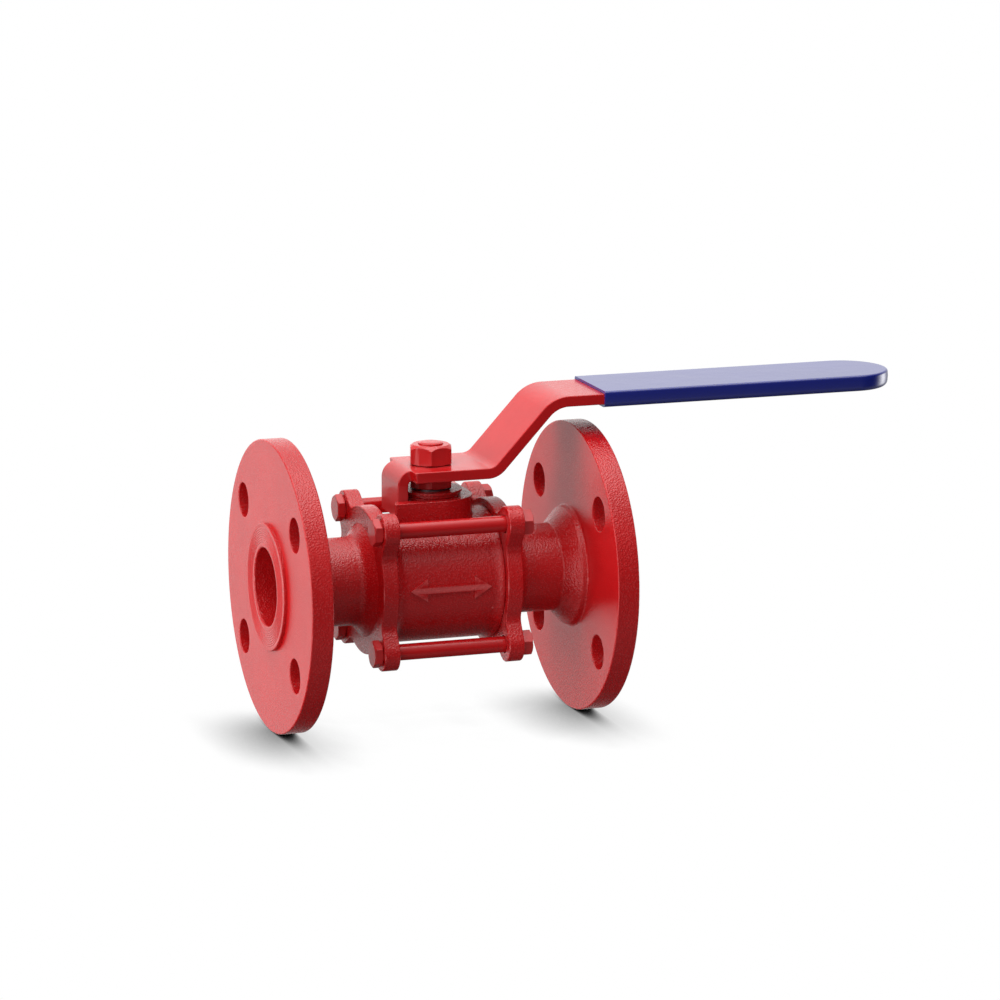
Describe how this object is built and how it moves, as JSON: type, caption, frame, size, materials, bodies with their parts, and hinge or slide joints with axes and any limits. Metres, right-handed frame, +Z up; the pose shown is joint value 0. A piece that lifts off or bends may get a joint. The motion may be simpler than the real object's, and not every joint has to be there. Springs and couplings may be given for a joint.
{
  "type": "ball valve",
  "caption": "Flanged ball valve with bolted end caps, painted red, with a cranked lever handle in a blue sleeve that turns the ball a quarter turn.",
  "frame": {"origin": "under the middle of the valve's bounding box, on the plane that its two flange rims stand on; the ball's centre is at x -58.425 mm, z +54 mm", "axes": "+X along the pipe, towards the handle's free end in the open position; +Z up along the stem; -Y is the front"},
  "size_m": [0.2438, 0.108, 0.1221],
  "materials": {
    "red_paint": "semi-gloss red enamel over castings, plate and fasteners",
    "blue_grip": "glossy dark blue dipped vinyl",
    "polished_steel": "polished stainless ball",
    "spring_steel": "dark spring steel",
    "seal_white": "white fluoropolymer"
  },
  "bodies": {
    "casing": {"valve_body": "red_paint", "end_cap_left": "red_paint", "end_cap_right": "red_paint", "seat_ring_left": "seal_white", "seat_ring_right": "seal_white", "body_seal_left": "seal_white", "body_seal_right": "seal_white", "thrust_washer": "seal_white", "packing_ring_1": "seal_white", "packing_ring_2": "seal_white", "packing_ring_3": "seal_white", "gland": "red_paint", "tie_bolt_1": "red_paint", "tie_bolt_2": "red_paint", "tie_bolt_3": "red_paint", "tie_bolt_4": "red_paint", "tie_nut_1": "red_paint", "tie_nut_2": "red_paint", "tie_nut_3": "red_paint", "tie_nut_4": "red_paint"},
    "stem_and_handle": {"stem": "red_paint", "disc_spring_1": "spring_steel", "disc_spring_2": "spring_steel", "gland_nut": "red_paint", "handle_lever": "red_paint", "handle_sleeve": "blue_grip", "handle_nut": "red_paint"},
    "ball": {"ball": "polished_steel"}
  },
  "joints": [
    {"name": "handle_turn", "type": "hinge", "parent": "casing", "child": "stem_and_handle", "pos_m": [-0.05842, 0, 0.094], "axis": [0, 0, 1], "range_deg": [-90, 0]},
    {"name": "ball_turn", "type": "hinge", "parent": "casing", "child": "ball", "pos_m": [-0.05842, 0, 0.054], "axis": [0, 0, 1], "range_deg": [-90, 0]}
  ],
  "couplings": [
    {"joint": "ball_turn", "follows": "handle_turn", "ratio": 1}
  ]
}
